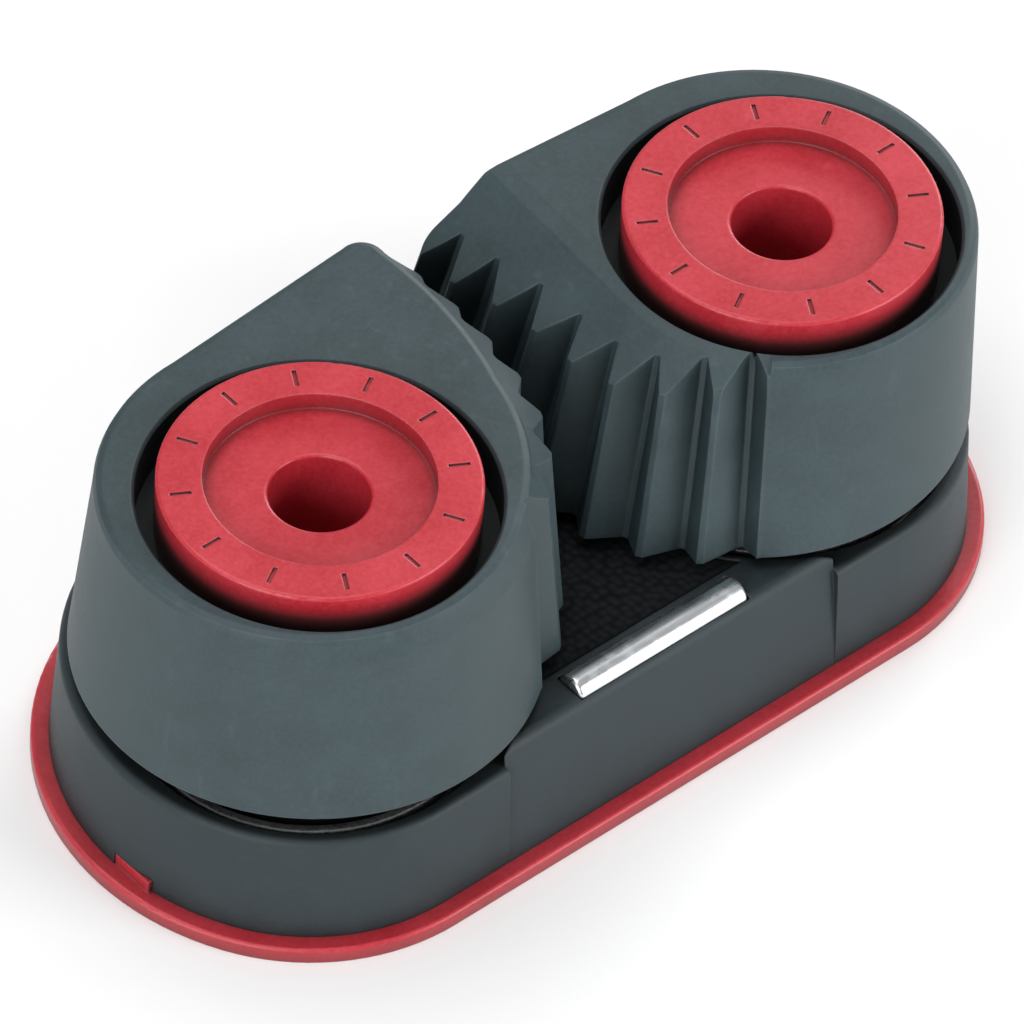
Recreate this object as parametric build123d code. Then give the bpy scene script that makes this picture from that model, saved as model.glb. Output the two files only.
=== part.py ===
"""Ball-bearing cam cleat for a 3 to 12 mm line, with a flanged base plate.

Frame: millimetres, +Z up, origin on the underside of the base plate, midway between the two
fastener holes. The pivots stand on the X axis. The line is led in over the wear bar at -Y and
leaves between the cam tips at +Y. The left cleat half stands at -X, the right half at +X.
"""
from build123d import *
from math import cos, pi, radians, sin, sqrt, tan
import os

# fasteners and pivots
hole_spacing = 38.1      # centre to centre of the two fastener holes, 1 1/2 in
hole_r = 3.2             # clearance for an M6 or 1/4 in screw
pivot_x = hole_spacing / 2

# base plate
front_r = 14.8           # front corners, struck from the pivots
back_r = 18.5            # rounder back corners, tangent to the front ones
corner_turn = 30.0       # degrees below the X axis where the two radii meet
plate_thick = 1.1
plate_edge = 0.25        # rounding of the plate's upper edge
tab_width = 3.2
tab_rise = 0.9
tab_deep = 1.6
tab_gap = 0.05
spigot_wall = 2.0        # ring that locates the body and the post
spigot_rise = 2.0

# base body
body_ledge = 1.15        # plate showing all round the body
body_draft = 3.4         # degrees, round the ends
front_draft = 7.0        # degrees, straight front and back walls
seat_z = 9.2             # ledge below the cams
seat_edge = 0.55
bridge_z = 10.4          # top of the bridge between the cams
bridge_edge = 0.8
seat_r = 13.6            # clearance circle of each cam in the bridge
floor_sink = 0.35        # textured line floor below the bridge top
boss_r = 9.6
boss_z = 10.65
groove_r = 12.3          # outside of the spring groove
groove_z = 4.5
core_z = 3.1             # coring under the spring groove
core_wall = 1.4
core_end_wall = 1.8      # round the ends
rib_thick = 1.3

# wear bar
bar_r = 1.15
bar_length = 14.0
bar_y = -10.95
bar_z = 10.05
bar_chamfer = 0.2
bar_gap = 0.06
bar_snap = 0.03          # the mouth is this much narrower than the bar, each side
ridge_width = 0.35       # lip left standing behind the bar

# bearing posts
post_r = 6.2
cap_r = 10.15
cap_z = 28.1
cap_thick = 4.1
cap_edge = 0.22
cap_recess_r = 7.27
cap_recess = 1.26
bore_edge = 0.22
mark_count = 12
mark_long = 1.35
mark_wide = 0.26
mark_deep = 0.16
key_width = 2.4
key_rise = 1.4
key_gap = 0.06
fit_gap = 0.05           # radial clearance of parts that turn or slide together
over = 1.0               # how far a cutter runs past what it cuts
near = 0.001             # for finding edges

# ball rows
ball_r = 0.98
ball_gap = 0.02
balls_per_row = 18
row_count = 3
washer_thick = 0.7
washer_gap = 0.04
washer_inset = 0.1       # how far the upper washer stays inside the cap
spacer_gap = 0.12
spacer_side = 0.1        # clearance of a spacer ring to the post and to the cam

# cams
cam_foot_z = 11.4
cap_stand = 1.35         # how far the cap stands above the cam
counterbore_r = 11.4
rim_edge = 0.2           # bevel round the counterbore
cam_edge = 0.55
pad_slope = 36.0         # degrees, lead-in of the right cam above its teeth
crease_width = 1.1       # strip at half that slope along its crease
rim_r = 11.1             # the crease's distance from the pivot
pad_turn = 4.0           # degrees from the line side, where the crease turns from straight to round
pad_end_angle = -45.5    # and where it ends
pad_reach = 30.0         # length of the cutters for the slope
pad_over = 3.0
ridge_drop = 2.0         # from the cam's top to the tops of the tooth ridges
stop_r = 12.75           # the fixed stop and the two lugs below the cam
stop_wall = 0.95
stop_root = 0.3          # how far they run into the body or the cam
lug_width = 10.0         # degrees
lug_gap = 0.4            # below the lugs, and above the stop
stop_angle = 118.0       # where the fixed stop stands, from the line side
stop_width = 9.0         # degrees
open_angle = 50.0
outline_turn = 12.0      # degrees below the X axis of the point that the round back is struck through
stop_gap = 0.6           # degrees

# teeth
tooth_count = 8
tooth_land = 0.45
valley_flat = 0.35
valley_tip = 0.4         # where the valley stands in its gap, counted from the tip side, at the tip
valley_front = 0.75      # and at the front
depth_tip = 2.0          # right cam, at its tooth tops
depth_front = 1.6
depth_left = 0.9         # left cam, at its tooth tops
foot_depth_tip = 1.5     # both cams, at the foot
foot_depth_front = 1.1
groove_proud = 1.2       # how far a groove cutter stands out of the ridges
groove_over = 3.0        # and how far it runs past the cam's height

# springs
wire_r = 0.42
spring_turns = 3.5
spring_pitch = 1.1
leg_length = 1.6
leg_r = 0.36             # a leg is a little thinner than the coil's wire
leg_lap = 0.3            # how far it runs past the wire's centre line
leg_gap = 0.08
leg_room = 0.2           # beyond the leg's end

# worked out
row_r = post_r + ball_gap + ball_r
cam_bore_r = post_r + 2 * (ball_gap + ball_r)
cap_under_z = cap_z - cap_thick
cam_top_z = cap_z - cap_stand
chamfer_z = cam_top_z - ridge_drop
groove_mid_r = (boss_r + groove_r) / 2
spigot_r = post_r + fit_gap + spigot_wall
back_x = pivot_x - (back_r - front_r) * cos(radians(corner_turn))
back_y = (back_r - front_r) * sin(radians(corner_turn))
body_front = front_r - body_ledge
body_back = back_y + back_r - body_ledge
body_end_x = back_x + sqrt((back_r - body_ledge) ** 2 - back_y ** 2)
front_lean = (seat_z - plate_thick) * tan(radians(front_draft))
bridge_lean = (bridge_z - plate_thick) * tan(radians(front_draft))
bridge_x = pivot_x - sqrt(seat_r ** 2 - (body_front - bridge_lean) ** 2)
spring_z = groove_z + wire_r + fit_gap
spring_rise = spring_turns * spring_pitch
lug_z = seat_z + lug_gap
crease_r = rim_r + crease_width * (1 - tan(radians(pad_slope / 2)) / tan(radians(pad_slope)))
low_washer_z = boss_z
rows_low = boss_z + washer_thick + washer_gap
high_washer_z = cap_under_z - washer_thick
shoulder_z = high_washer_z - 2 * washer_gap    # floor of the counterbore below the cap
rows_high = high_washer_z - washer_gap

os.makedirs("parts", exist_ok=True)


def save(shape, name):
    """Write one sub-part as its own STEP file."""
    shape.label = name
    export_step(shape, f"parts/{name}.step")


def disc(r, z0, z1, x=0.0, y=0.0):
    """A cylinder between two heights."""
    return Pos(x, y, z0) * extrude(Circle(r), z1 - z0)


def ring(r_out, r_in, z0, z1, x=0.0, y=0.0):
    """A tube between two heights."""
    return disc(r_out, z0, z1, x, y) - disc(r_in, z0 - over, z1 + over, x, y)


def box(x0, x1, y0, y1, z0, z1):
    """A box between its lowest and highest corners."""
    size = Box(x1 - x0, y1 - y0, z1 - z0, align=(Align.MIN, Align.MIN, Align.MIN))
    return Pos(x0, y0, z0) * size


def edges_at(shape, z):
    """The level edges of a shape at one height."""
    return shape.edges().filter_by_position(Axis.Z, z - near, z + near)


def solid_of(shape):
    """The one solid that a chain of cuts and joins leaves."""
    return shape.solids().sort_by(SortBy.VOLUME)[-1]


def mirrored(shape):
    return mirror(shape, about=Plane.YZ)


def base_face(inset):
    """Outline of the base, moved in by a given width."""
    r_front = front_r - inset
    r_back = back_r - inset
    turn = radians(corner_turn)
    half_turn = turn / 2 + pi / 4
    meet = (pivot_x + r_front * cos(turn), -r_front * sin(turn))
    corner = (pivot_x + r_front * cos(half_turn), -r_front * sin(half_turn))
    rise = (pi / 2 - turn) / 2
    flank = (back_x + r_back * cos(rise), back_y + r_back * sin(rise))
    front = (pivot_x, -r_front)
    back = (back_x, back_y + r_back)
    right = [ThreePointArc(front, corner, meet), ThreePointArc(meet, flank, back)]
    left = [mirrored(edge) for edge in right]
    across = [Line(back, (-back[0], back[1])), Line(front, (-front[0], front[1]))]
    return make_face(Curve() + right + left + across)


def sector(r_out, r_in, a0, a1, z0, z1):
    """Part of a ring between two angles in degrees."""
    a_mid = (a0 + a1) / 2
    outer = [(r_out * cos(radians(a)), r_out * sin(radians(a))) for a in (a0, a_mid, a1)]
    inner = [(r_in * cos(radians(a)), r_in * sin(radians(a))) for a in (a1, a_mid, a0)]
    edges = [ThreePointArc(*outer), Line(outer[2], inner[0])]
    edges += [ThreePointArc(*inner), Line(inner[2], outer[0])]
    return Pos(0, 0, z0) * extrude(make_face(Curve() + edges), z1 - z0)


# base plate
def make_plate():
    plate = extrude(base_face(0), plate_thick)
    plate = fillet(edges_at(plate, plate_thick), plate_edge)
    for side in (-1, 1):
        x = side * pivot_x
        plate += disc(spigot_r, plate_thick / 2, plate_thick + spigot_rise, x)
        top = plate_thick + spigot_rise + over
        plate -= disc(post_r + fit_gap, plate_thick, top, x)
        reach = spigot_r + over
        slot = key_width / 2 + key_gap
        plate -= box(x - reach, x + reach, -slot, slot, plate_thick, top)
        plate -= disc(hole_r, -over, top, x)
        inner, outer = sorted((side * (body_end_x - tab_deep), side * body_end_x))
        plate += box(inner, outer, -tab_width / 2, tab_width / 2, plate_thick / 2, plate_thick + tab_rise)
    return solid_of(plate)


# base body
def bridge_block():
    """Block between the cams, its straight walls drafted, with rounded upper edges."""
    section = Polyline((-body_front, plate_thick), (body_back, plate_thick),
                       (body_back - bridge_lean, bridge_z), (-body_front + bridge_lean, bridge_z),
                       (-body_front, plate_thick))
    plane = Plane(origin=(-bridge_x, 0, 0), x_dir=(0, 1, 0), z_dir=(1, 0, 0))
    block = extrude(plane * make_face(section), 2 * bridge_x)
    upper = block.edges().filter_by(Axis.X).sort_by(Axis.Z)[-2:]
    block = fillet(upper, bridge_edge)
    for side in (-1, 1):
        block -= disc(seat_r, seat_z, bridge_z + over, side * pivot_x)
    return block


def make_body():
    body = extrude(base_face(body_ledge), seat_z - plate_thick, taper=body_draft)
    body = Pos(0, 0, plate_thick) * body
    body = fillet(edges_at(body, seat_z), seat_edge)
    body -= wall_shave(1, body_front)
    body -= wall_shave(-1, body_back)
    body += bridge_block()
    for side in (-1, 1):
        x = side * pivot_x
        body += disc(boss_r, groove_z, boss_z, x)
        body -= ring(groove_r, boss_r, groove_z, boss_z + over, x)
        body -= disc(post_r + fit_gap, 0, boss_z + over, x)
        body -= disc(spigot_r + fit_gap, 0, plate_thick + spigot_rise + 2 * fit_gap, x)
        body -= ring(body_front - core_end_wall, spigot_r + core_wall, 0, core_z, x)
        inner, outer = sorted((side * (body_end_x - tab_deep - tab_gap), side * (body_end_x + over)))
        half_tab = tab_width / 2 + tab_gap
        body -= box(inner, outer, -half_tab, half_tab, 0, plate_thick + tab_rise + tab_gap)
        body += stop_block(side)
        body -= leg_hole(side)
    for side in (-1, 1):
        body -= middle_core(side)
    body -= bar_channel()
    body -= line_floor()
    return solid_of(body)


def wall_shave(front, half):
    """What the steeper draft takes off the front or back wall between the ends."""
    out = half + over + front_lean
    section = Polyline((half, plate_thick), (out, plate_thick), (out, seat_z),
                       (half - front_lean, seat_z), (half, plate_thick))
    plane = Plane(origin=(0, 0, 0), x_dir=(0, -front, 0), z_dir=(-front, 0, 0))
    return extrude(plane * make_face(section), bridge_x, both=True)


def middle_core(side):
    """Half of the hollow under the bridge; a rib stands between the halves."""
    x_in = pivot_x - body_front + core_wall
    inner, outer = sorted((side * rib_thick / 2, side * x_in))
    y_low = -body_front + 2 * core_wall
    y_high = body_back - 2 * core_wall
    top = bar_z - bar_r - bar_gap - core_wall
    return box(inner, outer, y_low, y_high, 0, top)


def bar_channel():
    """Slot that the wear bar snaps into; its mouth is narrower than the bar."""
    r = bar_r + bar_gap
    half = bar_length / 2 + bar_gap
    channel = Pos(-half, bar_y, bar_z) * (Rot(0, 90, 0) * extrude(Circle(r), 2 * half))
    mouth_half = bar_r - bar_snap
    mouth = box(-half, half, bar_y - mouth_half, bar_y + mouth_half, bar_z, bridge_z + over)
    return channel + mouth


def line_floor():
    """Shallow floor behind the bar that the line lies over."""
    y_front = bar_y + bar_r + bar_gap + ridge_width
    cut = box(-pivot_x, pivot_x, y_front, body_back, bridge_z - floor_sink, bridge_z + over)
    for side in (-1, 1):
        cut -= disc(seat_r + ridge_width, 0, bridge_z + 2 * over, side * pivot_x)
    return cut


def cam_angle(side, a):
    """Angle from the line side, turned into an angle about +Z for the left or right half."""
    return a if side < 0 else 180 - a


def stop_block(side):
    a = cam_angle(side, stop_angle)
    block = sector(stop_r, stop_r - stop_wall, a - stop_width / 2, a + stop_width / 2,
                   groove_z - stop_root, cam_foot_z - lug_gap)
    return Pos(side * pivot_x, 0, 0) * block


def leg_hole(side):
    """Hole for the spring's lower leg, on the line side of the groove."""
    x = side * (pivot_x - groove_mid_r)
    return disc(leg_r + leg_gap, groove_z - leg_length - leg_room, groove_z + leg_room, x)


# wear bar
def make_bar():
    rod = extrude(Circle(bar_r), bar_length)
    rod = chamfer(rod.edges(), bar_chamfer)
    return Pos(-bar_length / 2, bar_y, bar_z) * (Rot(0, 90, 0) * rod)


# bearing posts
def make_post():
    """Flanged post in its own frame, the pivot at the origin."""
    post = disc(post_r, plate_thick, cap_under_z + cap_edge) + disc(cap_r, cap_under_z, cap_z)
    post = fillet(edges_at(post, cap_z), cap_edge)
    recess_z = cap_z - cap_recess
    post -= disc(cap_recess_r, recess_z, cap_z + over)
    post -= disc(hole_r, 0, cap_z + over)
    rim = edges_at(post, recess_z).filter_by(GeomType.CIRCLE)
    post = fillet([e for e in rim if abs(e.radius - hole_r) < near], bore_edge)
    mark_r = (cap_recess_r + cap_r) / 2
    for k in range(mark_count):
        mark = Pos(mark_r, 0, cap_z) * Box(mark_long, mark_wide, 2 * mark_deep)
        post -= Rot(0, 0, 360 * k / mark_count) * mark
    reach = post_r + spigot_wall
    key = box(-reach, reach, -key_width / 2, key_width / 2, plate_thick, plate_thick + key_rise)
    post += key - disc(hole_r + spigot_wall, 0, cap_z)
    return solid_of(post)


# cams
# Outlines in the cam's own frame: X towards the other cam, Y towards the tip, pivot at the origin.
# Each has the round back, the straight back edge, the tip and two arcs of the toothed side.
top_outline = dict(z=cam_top_z - cam_edge, centre=(0.25, 1.05), r=13.4, start=(8.9, -9.1), back=(0.2, 14.5),
                   back_end=(15.0, 15.6), tip=(16.55, 15.1), tip_end=(16.95, 13.7),
                   nose=(16.8, 7.0), knee=(15.3, 0.6), cheek=(13.1, -4.7))
ridge_outline = dict(z=chamfer_z, centre=(0.35, 1.15), r=13.6, start=(9.4, -9.5), back=(0.3, 14.8),
                     back_end=(16.3, 16.1), tip=(17.85, 15.6), tip_end=(18.3, 14.2),
                     nose=(18.5, 7.0), knee=(17.5, 0.6), cheek=(14.5, -5.3))
right_ridge_outline = dict(ridge_outline, back_end=(14.9, 15.4), tip=(16.3, 14.9), tip_end=(16.9, 13.8),
                           nose=(15.9, 7.0), knee=(16.0, 0.7), cheek=(13.8, -5.4), start=(9.0, -9.3))
foot_outline = dict(z=cam_foot_z, centre=(0.95, 1.75), r=14.85, start=(9.9, -10.6), back=(0.9, 16.6),
                    back_end=(16.6, 17.5), tip=(18.0, 17.0), tip_end=(18.4, 15.7),
                    nose=(18.6, 8.0), knee=(18.2, 0.4), cheek=(15.6, -6.2))


def outline_face(o):
    """Closed outline of the cam at one height."""
    cx, cy = o["centre"]
    a = radians(outline_turn)
    middle = (cx - o["r"] * cos(a), cy - o["r"] * sin(a))
    edges = [ThreePointArc(o["start"], middle, o["back"])]
    edges += [Line(o["back"], o["back_end"])]
    edges += [ThreePointArc(o["back_end"], o["tip"], o["tip_end"])]
    edges += [ThreePointArc(o["tip_end"], o["nose"], o["knee"])]
    edges += [ThreePointArc(o["knee"], o["cheek"], o["start"])]
    return Pos(0, 0, o["z"]) * make_face(Curve() + edges)


def tooth_side(o):
    """The toothed side of an outline, from the middle of the tip to the front."""
    tip = Line(o["tip"], o["tip_end"])
    nose = ThreePointArc(o["tip_end"], o["nose"], o["knee"])
    cheek = ThreePointArc(o["knee"], o["cheek"], o["start"])
    return [tip, nose, cheek]


def along(path, share):
    """Point at a share of the toothed side's length, counted from the tip."""
    s = share * sum(edge.length for edge in path)
    for edge in path:
        if s <= edge.length or edge is path[-1]:
            return edge @ min(s / edge.length, 1.0)
        s -= edge.length


def groove_corners(path, index, depth):
    """The V groove's four corners in plan, from the tip side to the front."""
    land = tooth_land / sum(edge.length for edge in path)
    start = along(path, index / tooth_count + land / 2)
    end = along(path, (index + 1) / tooth_count - land / 2)
    chord = (end - start).normalized()
    out = Vector(-chord.Y, chord.X)
    share = graded(index, valley_tip, valley_front)
    valley = start + chord * ((end - start).length * share) - out * depth
    half_flat = chord * (valley_flat / 2)
    reach = 1 + groove_proud / depth
    tip_flank = (start - valley + half_flat) * reach
    front_flank = (end - valley - half_flat) * reach
    return [valley - half_flat + tip_flank, valley - half_flat,
            valley + half_flat, valley + half_flat + front_flank]


def graded(index, at_tip, at_front):
    """A value that changes evenly from the groove at the tip to the one at the front."""
    return at_tip + (at_front - at_tip) * index / (tooth_count - 1)


def tooth_groove(index, side):
    """One V groove; its valley leans from the foot to the tooth tops."""
    ridges = right_ridge_outline if side > 0 else ridge_outline
    top_depth = graded(index, depth_tip, depth_front) if side > 0 else depth_left
    foot_depth = graded(index, foot_depth_tip, foot_depth_front)
    upper = groove_corners(tooth_side(ridges), index, top_depth)
    lower = groove_corners(tooth_side(foot_outline), index, foot_depth)
    rise = groove_over / (chamfer_z - cam_foot_z)
    top = [a + (a - b) * rise for a, b in zip(upper, lower)]
    bottom = [b - (a - b) * rise for a, b in zip(upper, lower)]
    faces = []
    for corners, z in ((top, chamfer_z + groove_over), (bottom, cam_foot_z - groove_over)):
        points = [(p.X, p.Y, z) for p in corners]
        faces.append(make_face(Polyline(*points, points[0])))
    return loft(faces, ruled=True)


def make_cam(side):
    """Cam in its own frame, the pivot at the origin; only the right one has the sloping pad."""
    ridges = right_ridge_outline if side > 0 else ridge_outline
    cam = loft([outline_face(foot_outline), outline_face(ridges)], ruled=True)
    cam += loft([outline_face(ridges), outline_face(top_outline)], ruled=True)
    cam += rounded_top(outline_face(top_outline))
    if side > 0:
        for slope, r in ((pad_slope / 2, rim_r), (pad_slope, crease_r)):
            for cutter in pad_cut(slope, r):
                cam -= cutter
    for index in range(tooth_count):
        cam -= tooth_groove(index, side)
    half = stop_width / 2 + stop_gap
    for start in (stop_angle - open_angle - half - lug_width, stop_angle + half):
        cam += sector(stop_r, stop_r - stop_wall, start, start + lug_width, lug_z, cam_foot_z + stop_root)
    cam -= disc(cam_bore_r, 0, cam_top_z + over)
    cam -= disc(counterbore_r, shoulder_z, cam_top_z + over)
    cam -= Pos(0, 0, cam_top_z - rim_edge) * Cone(counterbore_r, counterbore_r + 2 * rim_edge, 2 * rim_edge,
                                                  align=(Align.CENTER, Align.CENTER, Align.MIN))
    a = 2 * pi * spring_turns
    cam -= disc(leg_r + leg_gap, 0, cam_foot_z + leg_length + leg_room,
                groove_mid_r * cos(a), groove_mid_r * sin(a))
    return solid_of(cam)


def rounded_top(face):
    """Upper edge of the cam, rounded in two bevels."""
    steep = cam_edge * sin(pi / 4)
    middle = Pos(0, 0, steep) * offset(face, steep - cam_edge, kind=Kind.INTERSECTION)
    top = Pos(0, 0, cam_edge) * offset(face, -cam_edge, kind=Kind.INTERSECTION)
    return loft([face, middle], ruled=True) + loft([middle, top], ruled=True)


def pad_cut(slope, r):
    """What a lead-in slope takes off: straight behind the crease's turn, conical in front of it."""
    drop = cam_top_z - cam_foot_z
    run = drop / tan(radians(slope))
    rim = Cone(r + run, r, drop, align=(Align.CENTER, Align.CENTER, Align.MIN))
    rim = Pos(0, 0, cam_foot_z) * rim + disc(r, cam_top_z, cam_top_z + pad_over)
    front = sector(pad_reach, r / 2, pad_end_angle, pad_turn, cam_foot_z, cam_top_z + pad_over) - rim
    section = Polyline((r, cam_top_z), (r + run, cam_foot_z), (r + run, cam_top_z + pad_over),
                       (r, cam_top_z + pad_over), (r, cam_top_z))
    wedge = extrude(Plane.XZ * make_face(section), -pad_reach)
    return front, Rot(0, 0, pad_turn) * wedge


# bearings
def ball_row(z):
    """One row of balls between the post and the cam, as separate solids."""
    balls = []
    for k in range(balls_per_row):
        a = 2 * pi * k / balls_per_row
        balls.append(Pos(row_r * cos(a), row_r * sin(a), z) * Sphere(ball_r))
    return balls


def row_height(k):
    step = (rows_high - rows_low - 2 * ball_r) / (row_count - 1)
    return rows_low + ball_r + step * k


def spacer(k):
    z0 = row_height(k) + ball_r + spacer_gap
    z1 = row_height(k + 1) - ball_r - spacer_gap
    return ring(cam_bore_r - spacer_side, post_r + spacer_side, z0, z1)


# springs
def make_spring():
    """Torsion spring in the groove below the cam, one leg in the body and one in the cam."""
    path = Pos(0, 0, spring_z) * Helix(pitch=spring_pitch, height=spring_rise, radius=groove_mid_r)
    start = path @ 0
    section = Plane(origin=start, z_dir=path % 0) * Circle(wire_r)
    coil = sweep(section, path=path)
    end = path @ 1
    coil += disc(leg_r, groove_z - leg_length, start.Z + leg_lap, start.X, start.Y)
    coil += disc(leg_r, end.Z - leg_lap, cam_foot_z + leg_length, end.X, end.Y)
    return solid_of(coil)


# write every sub-part
save(make_plate(), "base_plate")
save(make_body(), "base_body")
save(make_bar(), "wear_bar")
post = make_post()
spring = make_spring()
for side, name in ((-1, "left"), (1, "right")):
    def placed(shape):
        return Pos(side * pivot_x, 0, 0) * (shape if side < 0 else mirrored(shape))
    save(placed(post), f"{name}_bearing_post")
    save(placed(make_cam(side)), f"{name}_cam")
    save(placed(spring), f"{name}_spring")
    washer = ring(boss_r, post_r + fit_gap, low_washer_z, low_washer_z + washer_thick)
    save(placed(washer), f"{name}_lower_washer")
    washer = ring(cap_r - washer_inset, post_r + fit_gap, high_washer_z, high_washer_z + washer_thick)
    save(placed(washer), f"{name}_upper_washer")
    for k, row in enumerate(("lower", "middle", "upper")):
        balls = Compound(children=[placed(ball) for ball in ball_row(row_height(k))])
        save(balls, f"{name}_{row}_balls")
    for k, row in enumerate(("lower", "upper")):
        save(placed(spacer(k)), f"{name}_{row}_spacer")
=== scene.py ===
import bpy
import numpy as np
from mathutils import Matrix, Vector


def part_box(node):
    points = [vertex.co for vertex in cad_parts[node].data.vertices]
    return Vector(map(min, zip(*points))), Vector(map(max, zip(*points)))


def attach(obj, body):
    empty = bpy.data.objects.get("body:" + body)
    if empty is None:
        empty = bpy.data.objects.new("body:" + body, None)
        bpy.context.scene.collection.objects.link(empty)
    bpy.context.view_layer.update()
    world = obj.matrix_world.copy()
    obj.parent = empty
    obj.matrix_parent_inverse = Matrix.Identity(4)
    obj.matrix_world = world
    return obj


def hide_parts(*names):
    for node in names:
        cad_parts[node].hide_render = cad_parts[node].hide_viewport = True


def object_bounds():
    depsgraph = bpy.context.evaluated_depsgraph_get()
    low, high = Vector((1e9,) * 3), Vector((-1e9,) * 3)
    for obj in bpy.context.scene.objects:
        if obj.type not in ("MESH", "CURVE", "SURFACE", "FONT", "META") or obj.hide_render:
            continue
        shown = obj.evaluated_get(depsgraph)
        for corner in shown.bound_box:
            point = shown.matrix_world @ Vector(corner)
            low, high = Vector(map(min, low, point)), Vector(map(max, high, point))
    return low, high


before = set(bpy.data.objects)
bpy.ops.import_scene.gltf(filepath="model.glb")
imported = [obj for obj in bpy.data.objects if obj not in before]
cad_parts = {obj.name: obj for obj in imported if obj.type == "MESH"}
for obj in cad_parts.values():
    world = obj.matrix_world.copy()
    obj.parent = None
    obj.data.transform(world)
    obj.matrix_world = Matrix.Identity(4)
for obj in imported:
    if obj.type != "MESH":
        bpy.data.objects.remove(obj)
cadLow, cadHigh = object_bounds()
print("cleat loaded,", len(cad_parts), "nodes")

scene = bpy.context.scene
sides = ("left", "right")
rows = ("lower", "middle", "upper")
pivots = {s: sum(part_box(f"{s}_bearing_post"), Vector()) / 2 for s in sides}


def startMaterial(name):
    material = bpy.data.materials.new(name)
    material.use_nodes = True
    tree = material.node_tree
    shader = next(n for n in tree.nodes if n.type == "BSDF_PRINCIPLED")
    return material, tree, shader


def addNode(tree, kind, **values):
    node = tree.nodes.new(kind)
    for key, value in values.items():
        setattr(node, key, value)
    return node


def noise(tree, spot, scale, detail=3.0, rough=0.55, stretch=None):
    if stretch:
        mapping = addNode(tree, "ShaderNodeMapping")
        mapping.inputs["Scale"].default_value = stretch
        tree.links.new(spot, mapping.inputs["Vector"])
        spot = mapping.outputs[0]
    node = addNode(tree, "ShaderNodeTexNoise")
    node.inputs["Scale"].default_value = scale
    node.inputs["Detail"].default_value = detail
    node.inputs["Roughness"].default_value = rough
    tree.links.new(spot, node.inputs["Vector"])
    return node.outputs[0]


def remap(tree, value, fromLow, fromHigh, toLow, toHigh):
    node = addNode(tree, "ShaderNodeMapRange")
    for key, number in (("From Min", fromLow), ("From Max", fromHigh), ("To Min", toLow), ("To Max", toHigh)):
        node.inputs[key].default_value = number
    tree.links.new(value, node.inputs["Value"])
    return node.outputs[0]


def arithmetic(tree, operation, first, second):
    node = addNode(tree, "ShaderNodeMath", operation=operation)
    for k, value in enumerate((first, second)):
        if isinstance(value, (int, float)):
            node.inputs[k].default_value = value
        else:
            tree.links.new(value, node.inputs[k])
    return node.outputs[0]


def mixColour(tree, share, first, second):
    node = addNode(tree, "ShaderNodeMix", data_type="RGBA")
    tree.links.new(share, node.inputs[0])
    for socket, value in ((node.inputs[6], first), (node.inputs[7], second)):
        if isinstance(value, tuple):
            socket.default_value = (*value, 1)
        else:
            tree.links.new(value, socket)
    return node.outputs[2]


shadeSamples = 6
edgeSpan = (0.995, 0.80)


def roundedNormal(tree, radius):
    # the surface normal, averaged over a small radius, so that sharp edges catch light
    bevel = addNode(tree, "ShaderNodeBevel", samples=shadeSamples)
    bevel.inputs["Radius"].default_value = radius
    return bevel.outputs[0]


def edgeMask(tree, normal):
    # how far the averaged normal leans from the true one: 0 on flats, 1 on sharp edges
    geometry = addNode(tree, "ShaderNodeNewGeometry")
    dot = addNode(tree, "ShaderNodeVectorMath", operation="DOT_PRODUCT")
    tree.links.new(normal, dot.inputs[0])
    tree.links.new(geometry.outputs["Normal"], dot.inputs[1])
    return remap(tree, dot.outputs["Value"], *edgeSpan, 0.0, 1.0)


def creviceShade(tree, reach, closed, open, darkest):
    # painted shade: 1 in the open, falling to darkest deep in a gap or corner, read from ambient occlusion
    openness = addNode(tree, "ShaderNodeAmbientOcclusion", samples=shadeSamples, only_local=False)
    openness.inputs["Distance"].default_value = reach
    return remap(tree, openness.outputs["AO"], closed, open, darkest, 1.0)


def stackBump(tree, shader, heights, normal=None):
    # heights: (value, distance in metres, strength)
    for value, distance, strength in heights:
        bump = addNode(tree, "ShaderNodeBump")
        bump.inputs["Strength"].default_value = strength
        bump.inputs["Distance"].default_value = distance
        tree.links.new(value, bump.inputs["Height"])
        if normal is not None:
            tree.links.new(normal, bump.inputs["Normal"])
        normal = bump.outputs[0]
    tree.links.new(normal, shader.inputs["Normal"])


plasticSpans = dict(scuffs=(0.60, 0.74), mottle=(0.36, 0.64), wear=(0.3, 0.7), gloss=(0.3, 0.7),
                    cloudShare=0.45, grainShare=0.55, coatRough=0.25, cloudBump=0.5)


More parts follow.
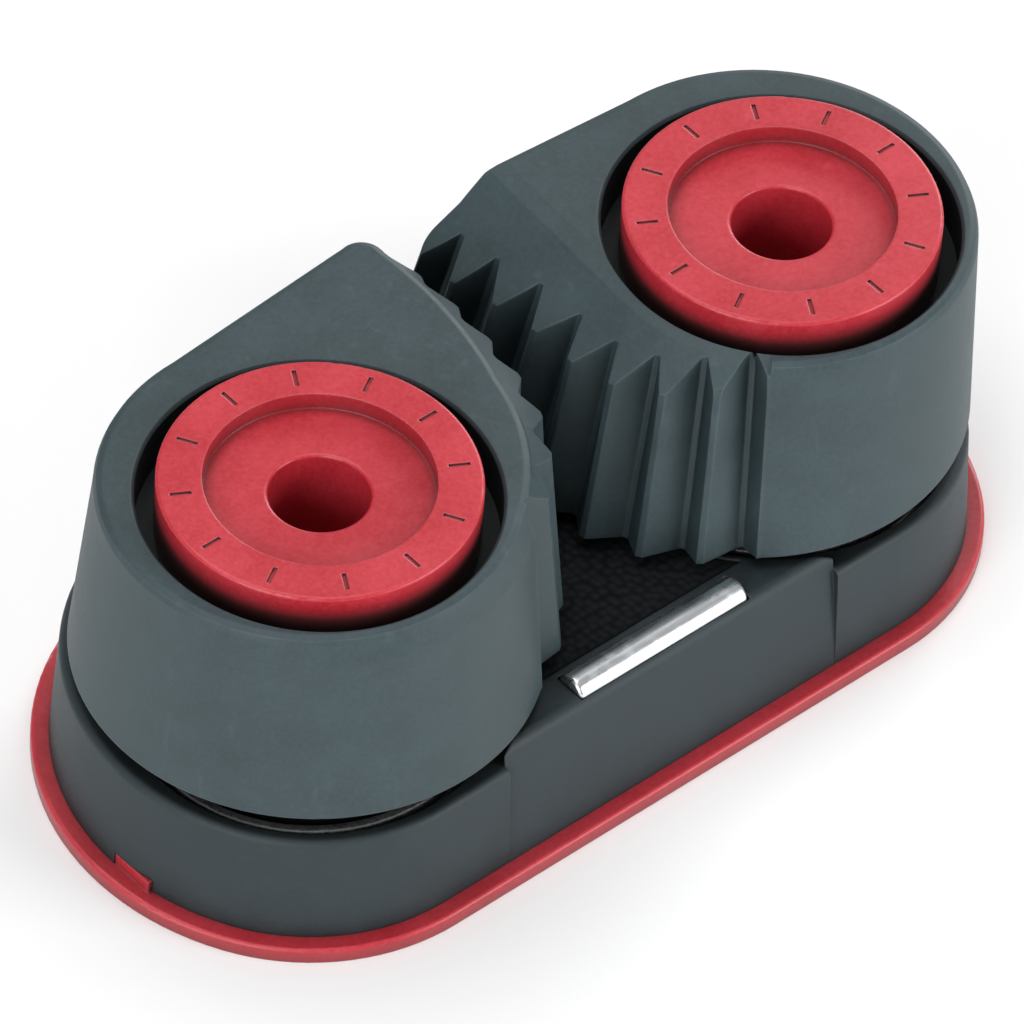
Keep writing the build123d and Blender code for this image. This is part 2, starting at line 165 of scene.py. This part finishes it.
def mouldedPlastic(name, look):
    # two tones of one colour in soft clouds and a fine grain, paler where edges have rubbed, with light scuffs,
    # and painted shade: darker towards near black in crevices, gaps and under overhangs
    spans = plasticSpans
    material, tree, shader = startMaterial(name)
    spot = addNode(tree, "ShaderNodeTexCoord").outputs["Object"]
    clouds = noise(tree, spot, 1 / look["cloudSize"], 2.0)
    grain = noise(tree, spot, 1 / look["grainSize"], 3.0, 0.65)
    scuffs = noise(tree, spot, 1 / look["scuffSize"], 4.0, 0.6, look["scuffStretch"])
    scuffs = remap(tree, scuffs, *spans["scuffs"], 0.0, 1.0)
    normal = roundedNormal(tree, look["edgeRadius"])
    edges = edgeMask(tree, normal)
    mottle = arithmetic(tree, "ADD", arithmetic(tree, "MULTIPLY", clouds, spans["cloudShare"]),
                        arithmetic(tree, "MULTIPLY", grain, spans["grainShare"]))
    tone = mixColour(tree, remap(tree, mottle, *spans["mottle"], 0.0, 1.0), look["dark"], look["light"])
    wear = remap(tree, clouds, *spans["wear"], look["wearLow"], look["wearHigh"])
    worn = arithmetic(tree, "MULTIPLY", edges, wear)
    tone = mixColour(tree, worn, tone, look["worn"])
    tone = mixColour(tree, arithmetic(tree, "MULTIPLY", scuffs, look["scuffShare"]), tone, look["worn"])
    # painted shade: mix towards the near-black shade colour wherever ambient occlusion finds a crevice or gap
    shade = creviceShade(tree, look["creviceReach"], *look["creviceSpan"], look["creviceDark"])
    tone = mixColour(tree, shade, look["paintedShadeColour"], tone)
    tree.links.new(tone, shader.inputs["Base Color"])
    gloss = remap(tree, mottle, *spans["gloss"], look["roughLow"], look["roughHigh"])
    gloss = arithmetic(tree, "ADD", gloss, arithmetic(tree, "MULTIPLY", scuffs, look["scuffRough"]))
    tree.links.new(gloss, shader.inputs["Roughness"])
    shader.inputs["IOR"].default_value = look["ior"]
    shader.inputs["Coat Weight"].default_value = look.get("coat", 0.0)
    shader.inputs["Coat Roughness"].default_value = spans["coatRough"]
    stackBump(tree, shader, [(grain, look["grainHeight"], look["grainStrength"]),
                             (clouds, look["cloudHeight"], spans["cloudBump"])], normal)
    return material


# each finish: linear colours, sizes and heights in metres, shares from 0 to 1
# each plastic finish ends with a painted shade colour, near black, mixed into its crevices and gaps
camFinish = dict(dark=(0.026, 0.044, 0.050), light=(0.038, 0.062, 0.070), worn=(0.16, 0.21, 0.23),
                 cloudSize=0.0035, grainSize=0.00032, scuffSize=0.0011, scuffStretch=(1, 1, 0.22),
                 scuffShare=0.10, scuffRough=0.08, edgeRadius=0.00022, wearLow=0.15, wearHigh=0.55,
                 roughLow=0.46, roughHigh=0.60, ior=1.43, grainHeight=0.000025, grainStrength=0.35,
                 cloudHeight=0.00004, creviceReach=0.0045, creviceSpan=(0.22, 0.80), creviceDark=0.0,
                 paintedShadeColour=(0.003, 0.004, 0.004))
baseFinish = dict(camFinish, dark=(0.015, 0.025, 0.029), light=(0.023, 0.036, 0.041), worn=(0.10, 0.13, 0.14),
                  roughLow=0.48, roughHigh=0.64, scuffShare=0.06, scuffStretch=(0.25, 1, 1),
                  creviceSpan=(0.28, 0.85))
redFinish = dict(dark=(0.42, 0.014, 0.025), light=(0.53, 0.032, 0.050), worn=(0.85, 0.24, 0.27),
                 cloudSize=0.005, grainSize=0.00030, scuffSize=0.0014, scuffStretch=(1, 1, 1),
                 scuffShare=0.05, scuffRough=0.06, edgeRadius=0.00018, wearLow=0.10, wearHigh=0.35,
                 roughLow=0.34, roughHigh=0.46, ior=1.49, grainHeight=0.00002, grainStrength=0.25,
                 cloudHeight=0.00003, coat=0.15, creviceReach=0.005, creviceSpan=(0.30, 0.72),
                 creviceDark=0.0, paintedShadeColour=(0.030, 0.014, 0.013))
slipFinish = dict(redFinish, dark=(0.66, 0.65, 0.60), light=(0.78, 0.77, 0.72), worn=(0.9, 0.9, 0.88),
                  coat=0.0, paintedShadeColour=(0.12, 0.12, 0.11))
ballFinish = dict(redFinish, dark=(0.018, 0.018, 0.02), light=(0.034, 0.034, 0.037), worn=(0.1, 0.1, 0.1),
                  roughLow=0.22, roughHigh=0.34, coat=0.2, paintedShadeColour=(0.004, 0.004, 0.004))
barFinish = dict(colour=(0.74, 0.77, 0.79), rubbed=(0.86, 0.88, 0.90), drawSize=0.00022, drawStretch=(0.03, 1, 1),
                 roughLow=0.24, roughHigh=0.34, drawHeight=0.000002, drawBump=0.5,
                 drawSpan=(0.3, 0.7), nickSize=0.0009, nickSpan=(0.55, 0.72), nickRough=0.12)
wireFinish = dict(barFinish, colour=(0.42, 0.42, 0.43), rubbed=(0.60, 0.60, 0.60), drawStretch=(1, 1, 1),
                  roughLow=0.26, roughHigh=0.42)
# pit and crest are near black: partly the skin's own dark tone, partly painted shade between the cams
floorFinish = dict(pit=(0.002, 0.0025, 0.003), crest=(0.007, 0.009, 0.010), grainSize=0.00025,
                   roughLow=0.62, roughHigh=0.85, specular=0.15, crestShare=0.7, grainShare=0.3,
                   glossSpan=(0.2, 0.8), grainHeight=0.00003, grainBump=0.5)


def drawnSteel(name, look):
    # polished metal with fine lines along its length and a few rubbed nicks
    material, tree, shader = startMaterial(name)
    spot = addNode(tree, "ShaderNodeTexCoord").outputs["Object"]
    lines = noise(tree, spot, 1 / look["drawSize"], 3.0, 0.6, look["drawStretch"])
    nicks = remap(tree, noise(tree, spot, 1 / look["nickSize"], 4.0), *look["nickSpan"], 0.0, 1.0)
    tone = mixColour(tree, remap(tree, lines, *look["drawSpan"], 0.0, 1.0), look["colour"], look["rubbed"])
    tree.links.new(tone, shader.inputs["Base Color"])
    shader.inputs["Metallic"].default_value = 1.0
    gloss = remap(tree, lines, *look["drawSpan"], look["roughLow"], look["roughHigh"])
    gloss = arithmetic(tree, "ADD", gloss, arithmetic(tree, "MULTIPLY", nicks, look["nickRough"]))
    tree.links.new(gloss, shader.inputs["Roughness"])
    stackBump(tree, shader, [(lines, look["drawHeight"], look["drawBump"])])
    return material


def pebbledSkin(name, look):
    # nearly black between the crests, a little paler and smoother on them; height is a vertex attribute
    # the near-black colours are partly the skin's own dark tone and partly painted shade from the cams on either
    # side
    material, tree, shader = startMaterial(name)
    spot = addNode(tree, "ShaderNodeTexCoord").outputs["Object"]
    grain = noise(tree, spot, 1 / look["grainSize"], 3.0, 0.6)
    crest = addNode(tree, "ShaderNodeAttribute", attribute_name="crest").outputs["Fac"]
    share = arithmetic(tree, "ADD", arithmetic(tree, "MULTIPLY", crest, look["crestShare"]),
                       arithmetic(tree, "MULTIPLY", grain, look["grainShare"]))
    tree.links.new(mixColour(tree, share, look["pit"], look["crest"]), shader.inputs["Base Color"])
    gloss = remap(tree, share, *look["glossSpan"], look["roughHigh"], look["roughLow"])
    tree.links.new(gloss, shader.inputs["Roughness"])
    shader.inputs["Specular IOR Level"].default_value = look["specular"]
    stackBump(tree, shader, [(grain, look["grainHeight"], look["grainBump"])])
    return material


camGrey = mouldedPlastic("camComposite", camFinish)
baseGrey = mouldedPlastic("baseComposite", baseFinish)
capRed = mouldedPlastic("redMoulding", redFinish)
slipWhite = mouldedPlastic("slipMoulding", slipFinish)
ballBlack = mouldedPlastic("ballMoulding", ballFinish)
barSteel = drawnSteel("barSteel", barFinish)
springSteel = drawnSteel("springWire", wireFinish)
floorSkin = pebbledSkin("lineFloorSkin", floorFinish)
print("finishes made")


def dress(node, material):
    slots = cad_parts[node].material_slots
    for slot in slots:
        slot.material = material
    if not slots:
        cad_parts[node].data.materials.append(material)


dress("base_plate", capRed)
dress("base_body", baseGrey)
dress("wear_bar", barSteel)
for s in sides:
    dress(f"{s}_bearing_post", capRed)
    dress(f"{s}_cam", camGrey)
    dress(f"{s}_spring", springSteel)
    for washer in ("lower_washer", "upper_washer", "lower_spacer", "upper_spacer"):
        dress(f"{s}_{washer}", slipWhite)
    for row in rows:
        dress(f"{s}_{row}_balls", ballBlack)
print("nodes dressed")


def surface(name, points, material, wrapRows=False, wrapColumns=False, smooth=True):
    # points is rows x columns x 3; each cell of the grid is one face, and a wrapped side joins its first line
    rowCount, columnCount = points.shape[:2]
    index = np.arange(rowCount * columnCount).reshape(rowCount, columnCount)
    if wrapRows:
        index = np.vstack([index, index[:1]])
    if wrapColumns:
        index = np.hstack([index, index[:, :1]])
    faces = np.stack([index[:-1, :-1], index[:-1, 1:], index[1:, 1:], index[1:, :-1]], -1).reshape(-1, 4)
    mesh = bpy.data.meshes.new(name)
    mesh.from_pydata(points.reshape(-1, 3).tolist(), [], faces.tolist())
    mesh.polygons.foreach_set("use_smooth", np.full(len(faces), smooth))
    mesh.materials.append(material)
    mesh.update()
    piece = bpy.data.objects.new(name, mesh)
    scene.collection.objects.link(piece)
    return piece


def closeEnds(piece, points):
    # one fan on each end ring of a tube, so that the mesh is closed
    rowCount, columnCount = points.shape[:2]
    mesh = piece.data
    vertices = np.vstack([points.reshape(-1, 3), points[0].mean(0), points[-1].mean(0)])
    faces = [tuple(p.vertices) for p in mesh.polygons]
    ring = np.arange(columnCount)
    following = np.roll(ring, -1)
    last = (rowCount - 1) * columnCount
    low = np.full(columnCount, rowCount * columnCount)
    faces += np.stack([following, ring, low], -1).tolist()
    faces += np.stack([last + ring, last + following, low + 1], -1).tolist()
    material = mesh.materials[0]
    mesh.clear_geometry()
    mesh.from_pydata(vertices.tolist(), [], faces)
    mesh.polygons.foreach_set("use_smooth", np.ones(len(faces), bool))
    mesh.materials.clear()
    mesh.materials.append(material)
    mesh.update()


# a short polished rod; edge is its rounding
barSize = dict(edge=0.0003, columns=96, edgeRows=9, sideRows=60)


def wearBar(size):
    # a circle carried along X: its radius grows over a quarter round at each end and is constant between
    low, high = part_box("wear_bar")
    middle = (low + high) / 2
    r = (high.z - low.z) / 2
    turn = np.linspace(0, np.pi / 2, size["edgeRows"])
    edge = size["edge"]
    inX = edge * (1 - np.cos(turn))
    inR = r - edge * (1 - np.sin(turn))
    run = np.linspace(low.x + edge, high.x - edge, size["sideRows"])[1:-1]
    along = np.concatenate([low.x + inX, run, (high.x - inX)[::-1]])
    radius = np.concatenate([inR, np.full(len(run), r), inR[::-1]])
    around = np.linspace(0, 2 * np.pi, size["columns"], endpoint=False)
    points = np.empty((len(along), len(around), 3))
    points[..., 0] = along[:, None]
    points[..., 1] = middle.y + radius[:, None] * np.cos(around)
    points[..., 2] = middle.z + radius[:, None] * np.sin(around)
    piece = surface("wear_bar_rod", points, barSteel, wrapColumns=True)
    closeEnds(piece, points)
    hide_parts("wear_bar")
    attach(piece, "root")


wearBar(barSize)
print("wear bar made")


# a thin skin of small pebbles on the floor between the cams
floorSize = dict(front=-0.0093, back=0.0168, level=0.01006, thickness=0.00017, crest=0.00009,
                 camClear=0.01402, halfWidth=0.0134, cell=0.00062, bump=0.00040, columns=150, rows=170)


def pebbleHeight(x, y, size):
    # 1 - (d / bump)^2 over the nearest of one jittered centre in each cell, and 0 beyond it
    cell = size["cell"]
    column, row = np.floor(x / cell), np.floor(y / cell)
    height = np.zeros_like(x)
    for stepX, stepY in [(i, j) for i in (-1, 0, 1) for j in (-1, 0, 1)]:
        cx, cy = column + stepX, row + stepY
        jitterX = np.modf(np.abs(np.sin(cx * 12.9898 + cy * 78.233)) * 43758.5453)[0]
        jitterY = np.modf(np.abs(np.sin(cx * 39.3468 + cy * 11.135)) * 24634.6345)[0]
        away = np.hypot(x - (cx + 0.2 + 0.6 * jitterX) * cell, y - (cy + 0.2 + 0.6 * jitterY) * cell)
        height = np.maximum(height, 1 - (away / size["bump"]) ** 2)
    return np.clip(height, 0, 1)


def lineFloor(size):
    # across: x runs between the two cams' clearance circles, whose gap depends on y
    # up: the upper skin carries the pebbles and fades to nothing at its rim, the lower one is flat
    y = np.linspace(size["front"], size["back"], size["rows"])[:, None]
    reach = np.sqrt(np.clip(size["camClear"] ** 2 - y ** 2, 0, None))
    half = np.minimum(pivots["right"].x - reach, size["halfWidth"])
    across = np.linspace(-1, 1, size["columns"])[None, :]
    x = half * across
    y = np.broadcast_to(y, x.shape)
    crest = pebbleHeight(x, y, size)
    rim = np.minimum(np.minimum(half - np.abs(x), y - size["front"]), size["back"] - y)
    crest = crest * np.clip(rim / size["bump"], 0, 1)
    top = np.stack([x, y, size["level"] + size["thickness"] + size["crest"] * crest], -1)
    bottom = np.stack([x, y, np.full_like(x, size["level"])], -1)
    points = np.concatenate([top, bottom[:, ::-1]], axis=1)[:, ::-1]
    piece = surface("line_floor_texture", points, floorSkin, wrapColumns=True)
    fade = np.concatenate([crest, np.zeros_like(crest)], axis=1)[:, ::-1].ravel()
    closeEnds(piece, points)
    values = piece.data.attributes.new("crest", "FLOAT", "POINT")
    values.data.foreach_set("value", np.append(fade, (0.0, 0.0)))
    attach(piece, "root")


lineFloor(floorSize)
print("line floor made")


# a pale floor and room, four lamps
stageSize = dict(reach=1.2, colour=(0.90, 0.90, 0.90), rough=0.8, below=0.00002, lines=3)


def floorPlane(size):
    # a flat grid at the height of the cleat's underside
    line = np.linspace(-size["reach"], size["reach"], size["lines"])
    x, y = np.meshgrid(line, line)
    points = np.stack([x, y, np.full_like(x, cadLow.z - size["below"])], -1)
    material, tree, shader = startMaterial("paleFloor")
    shader.inputs["Base Color"].default_value = (*size["colour"], 1)
    shader.inputs["Roughness"].default_value = size["rough"]
    piece = surface("floor", points, material, smooth=False)


lampAim = (0, 0, 0.012)
lamps = [
    dict(name="overhead", at=(-0.05, 0.10, 0.60), size=0.50, power=2.0),
    dict(name="frontLeft", at=(-0.60, -0.25, 0.30), size=0.45, power=3.2),
    dict(name="frontRight", at=(0.30, -0.55, 0.22), size=0.35, power=2.6),
    dict(name="backRight", at=(0.55, 0.25, 0.25), size=0.30, power=1.8),
]


def hangLamp(lamp):
    light = bpy.data.lights.new(lamp["name"], "AREA")
    light.size = lamp["size"]
    light.energy = lamp["power"]
    holder = bpy.data.objects.new(lamp["name"], light)
    holder.location = lamp["at"]
    aim = Vector(lampAim) - Vector(lamp["at"])
    holder.rotation_mode = "QUATERNION"
    holder.rotation_quaternion = aim.to_track_quat("-Z", "Y")
    scene.collection.objects.link(holder)


cameraPlace = dict(azimuth=-43.834, elevation=46.377, roll=4.175, distance=0.8, lens=445.3,
                   height=0.010, shiftRight=-0.001721, shiftUp=0.001901, sensor=36, near=0.01, far=10)


def placeCamera(place):
    a, e, roll = np.radians([place["azimuth"], place["elevation"], place["roll"]])
    back = Vector((np.sin(a) * np.cos(e), -np.cos(a) * np.cos(e), np.sin(e)))
    level = Vector((np.cos(a), np.sin(a), 0))
    upright = back.cross(level)
    right = level * np.cos(roll) + upright * np.sin(roll)
    up = upright * np.cos(roll) - level * np.sin(roll)
    aim = Vector((0, 0, place["height"])) + right * place["shiftRight"] + up * place["shiftUp"]
    camera = bpy.data.objects.new("camera", bpy.data.cameras.new("camera"))
    turn = Matrix((right, up, back)).transposed().to_4x4()
    camera.matrix_world = Matrix.Translation(aim + back * place["distance"]) @ turn
    camera.data.sensor_width = place["sensor"]
    camera.data.lens = place["lens"]
    camera.data.clip_start = place["near"]
    camera.data.clip_end = place["far"]
    scene.collection.objects.link(camera)
    scene.camera = camera


roomStrength = 0.30


def paleWorld(strength):
    world = bpy.data.worlds.new("paleRoom")
    world.use_nodes = True
    background = world.node_tree.nodes["Background"]
    background.inputs["Color"].default_value = (1, 1, 1, 1)
    background.inputs["Strength"].default_value = strength
    scene.world = world


floorPlane(stageSize)
for lamp in lamps:
    hangLamp(lamp)
placeCamera(cameraPlace)
paleWorld(roomStrength)
scene.view_settings.view_transform = "Standard"
print("stage, lamps and camera set")
